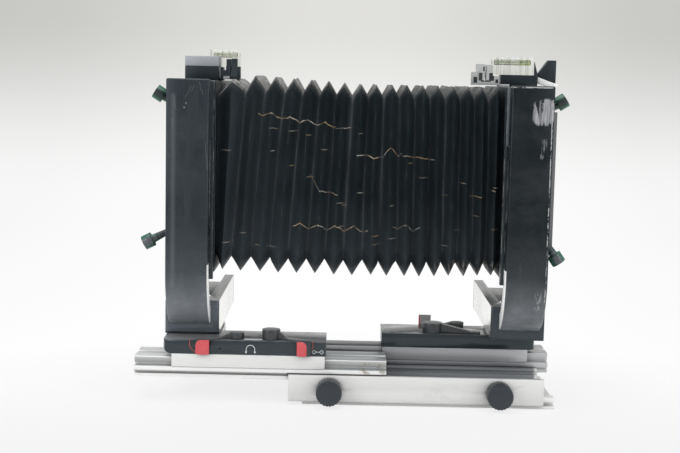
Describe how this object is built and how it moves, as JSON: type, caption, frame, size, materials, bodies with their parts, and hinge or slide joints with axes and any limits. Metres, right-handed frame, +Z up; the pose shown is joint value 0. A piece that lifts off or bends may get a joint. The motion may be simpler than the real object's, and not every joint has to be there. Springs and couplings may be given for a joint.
{
  "type": "view camera",
  "caption": "View camera with square bellows between two L-shaped standards on telescoping twin rails with geared focus, swing, shift, rise and tilt.",
  "frame": {"origin": "centre of the mouth of the tripod socket, on the underside of the base rail", "axes": "+X along the rails from the front standard to the rear standard, +Y across the rails away from the uprights, +Z up"},
  "size_m": [0.3992, 0.2045, 0.3285],
  "materials": {
    "aluminium": "satin anodised",
    "steel": "machined",
    "black_plastic": "fine matt",
    "black_paint": "semi-matt black",
    "lever_grey": "matt",
    "lever_green": "dark face with a green rim",
    "acrylic": "clear acrylic",
    "vial": "tinted fluid",
    "grey_plastic": "matt grey",
    "ground_glass": "ground",
    "bellows_cloth": "coated cloth, creased"
  },
  "bodies": {
    "base": {"base_rail": "aluminium", "tripod_bush": "steel"},
    "housing": {"track_housing": "aluminium"},
    "base_lock": {"base_lock_knob": "black_plastic"},
    "front_focus": {"front_focus_knob": "black_plastic", "front_pinion": "steel"},
    "front_track": {"front_rail": "aluminium", "front_rack": "steel", "front_rail_clamp": "aluminium", "front_carriage": "black_paint"},
    "front_swing": {"front_turntable": "black_paint"},
    "front_shift": {"front_leg": "aluminium", "front_leg_cap": "black_plastic", "front_leg_nose": "black_plastic", "front_upright": "black_paint"},
    "front_rise": {"front_slider": "black_paint"},
    "front_tilt": {"front_frame": "black_paint", "front_level_mount": "black_plastic", "front_level": "acrylic", "front_vial": "vial", "front_bellows_clip": "black_plastic", "front_bellows_end": "black_plastic", "front_level_plate": "aluminium", "front_level_foot": "black_plastic", "board_bar_pin_near": "steel", "board_bar_pin_far": "steel"},
    "front_hand_a": {"front_lever_a": "lever_grey"},
    "front_hand_b": {"front_lever_b": "lever_grey"},
    "front_grip_top": {"front_clamp_top_lever": "lever_green"},
    "front_grip_low": {"front_clamp_low_lever": "lever_green"},
    "rear_focus": {"rear_focus_knob": "black_plastic", "rear_pinion": "steel"},
    "rear_track": {"rear_rail": "aluminium", "rear_rack": "steel", "rear_rail_clamp": "aluminium", "rear_carriage": "black_paint"},
    "rear_swing": {"rear_turntable": "black_paint"},
    "rear_shift": {"rear_leg": "aluminium", "rear_leg_cap": "black_plastic", "rear_leg_nose": "black_plastic", "rear_upright": "black_paint"},
    "rear_rise": {"rear_slider": "black_paint"},
    "rear_tilt": {"rear_frame": "black_paint", "rear_level_mount": "black_plastic", "rear_level": "acrylic", "rear_vial": "vial", "rear_bellows_clip": "steel", "rear_bellows_end": "black_plastic", "back_frame": "black_paint", "rear_back_latch": "black_plastic", "rear_latch_spring": "aluminium", "bellows": "bellows_cloth"},
    "rear_hand_a": {"rear_lever_a": "lever_grey"},
    "rear_hand_b": {"rear_lever_b": "lever_grey"},
    "rear_grip_top": {"rear_clamp_top_lever": "lever_green"},
    "rear_grip_low": {"rear_clamp_low_lever": "lever_green"},
    "board_lock": {"board_lock_bar": "steel"},
    "back": {"glass_holder": "grey_plastic", "ground_glass": "ground_glass"}
  },
  "joints": [
    {"name": "base_slide", "type": "slide", "parent": "base", "child": "housing", "axis": [1, 0, 0], "range_m": [-0.045, 0.06]},
    {"name": "base_lock_turn", "type": "hinge", "parent": "housing", "child": "base_lock", "pos_m": [-0.012, 0.05, 0.0086], "axis": [0, 1, 0], "range_deg": [-90, 90]},
    {"name": "front_rail_slide", "type": "slide", "parent": "housing", "child": "front_track", "axis": [1, 0, 0], "range_m": [-0.035, 0.03], "deforming": ["bellows"]},
    {"name": "front_focus_turn", "type": "hinge", "parent": "housing", "child": "front_focus", "pos_m": [-0.093, -0.051, 0.015], "axis": [0, 1, 0], "range_deg": [-460, 395]},
    {"name": "front_swing_turn", "type": "hinge", "parent": "front_track", "child": "front_swing", "pos_m": [-0.224, 0.009, 0.0595], "axis": [0, 0, 1], "range_deg": [-10, 10], "deforming": ["bellows"]},
    {"name": "front_shift_slide", "type": "slide", "parent": "front_swing", "child": "front_shift", "axis": [0, 1, 0], "range_m": [-0.03, 0], "deforming": ["bellows"]},
    {"name": "front_rise_slide", "type": "slide", "parent": "front_shift", "child": "front_rise", "axis": [0, 0, 1], "range_m": [-0.012, 0.025], "deforming": ["bellows"]},
    {"name": "front_tilt_turn", "type": "hinge", "parent": "front_rise", "child": "front_tilt", "pos_m": [-0.2195, -0.0385, 0.21], "axis": [0, 1, 0], "range_deg": [-10, 10], "deforming": ["bellows"]},
    {"name": "front_lever_a_turn", "type": "hinge", "parent": "front_track", "child": "front_hand_a", "pos_m": [-0.18, -0.039, 0.0605], "axis": [0, 0, 1], "range_deg": [0, 60]},
    {"name": "front_lever_b_turn", "type": "hinge", "parent": "front_track", "child": "front_hand_b", "pos_m": [-0.148, -0.039, 0.0605], "axis": [0, 0, 1], "range_deg": [-60, 0]},
    {"name": "front_clamp_top_turn", "type": "hinge", "parent": "front_tilt", "child": "front_grip_top", "pos_m": [-0.2405, -0.0333, 0.277], "axis": [0, 1, 0], "range_deg": [0, 40]},
    {"name": "front_clamp_low_turn", "type": "hinge", "parent": "front_tilt", "child": "front_grip_low", "pos_m": [-0.2405, -0.0333, 0.161], "axis": [0, 1, 0], "range_deg": [0, 40]},
    {"name": "rear_rail_slide", "type": "slide", "parent": "housing", "child": "rear_track", "axis": [1, 0, 0], "range_m": [-0.03, 0.06], "deforming": ["bellows"]},
    {"name": "rear_focus_turn", "type": "hinge", "parent": "housing", "child": "rear_focus", "pos_m": [0.065, -0.051, 0.015], "axis": [0, 1, 0], "range_deg": [-395, 785]},
    {"name": "rear_swing_turn", "type": "hinge", "parent": "rear_track", "child": "rear_swing", "pos_m": [0.084, 0.009, 0.0595], "axis": [0, 0, 1], "range_deg": [-10, 10], "deforming": ["bellows"]},
    {"name": "rear_shift_slide", "type": "slide", "parent": "rear_swing", "child": "rear_shift", "axis": [0, 1, 0], "range_m": [-0.03, 0], "deforming": ["bellows"]},
    {"name": "rear_rise_slide", "type": "slide", "parent": "rear_shift", "child": "rear_rise", "axis": [0, 0, 1], "range_m": [-0.012, 0.025], "deforming": ["bellows"]},
    {"name": "rear_tilt_turn", "type": "hinge", "parent": "rear_rise", "child": "rear_tilt", "pos_m": [0.0805, -0.0385, 0.21], "axis": [0, 1, 0], "range_deg": [-10, 10], "deforming": ["bellows"]},
    {"name": "rear_lever_a_turn", "type": "hinge", "parent": "rear_track", "child": "rear_hand_a", "pos_m": [0.032, 0.039, 0.0605], "axis": [0, 0, 1], "range_deg": [-60, 0]},
    {"name": "rear_lever_b_turn", "type": "hinge", "parent": "rear_track", "child": "rear_hand_b", "pos_m": [0.006, 0.0113, 0.0605], "axis": [0, 0, 1], "range_deg": [-60, 0]},
    {"name": "rear_clamp_top_turn", "type": "hinge", "parent": "rear_tilt", "child": "rear_grip_top", "pos_m": [0.1015, -0.0333, 0.277], "axis": [0, 1, 0], "range_deg": [-40, 0]},
    {"name": "rear_clamp_low_turn", "type": "hinge", "parent": "rear_tilt", "child": "rear_grip_low", "pos_m": [0.1015, -0.0333, 0.161], "axis": [0, 1, 0], "range_deg": [-40, 0]},
    {"name": "board_lock_slide", "type": "slide", "parent": "front_tilt", "child": "board_lock", "axis": [0, 0, 1], "range_m": [0, 0.0035]},
    {"name": "back_slide", "type": "slide", "parent": "rear_tilt", "child": "back", "axis": [1, 0, 0], "range_m": [0, 0.005], "stiffness_N_per_m": 600}
  ],
  "couplings": [
    {"joint": "front_focus_turn", "follows": "front_rail_slide", "rad_per_m": 227.27},
    {"joint": "rear_focus_turn", "follows": "rear_rail_slide", "rad_per_m": 227.27}
  ]
}
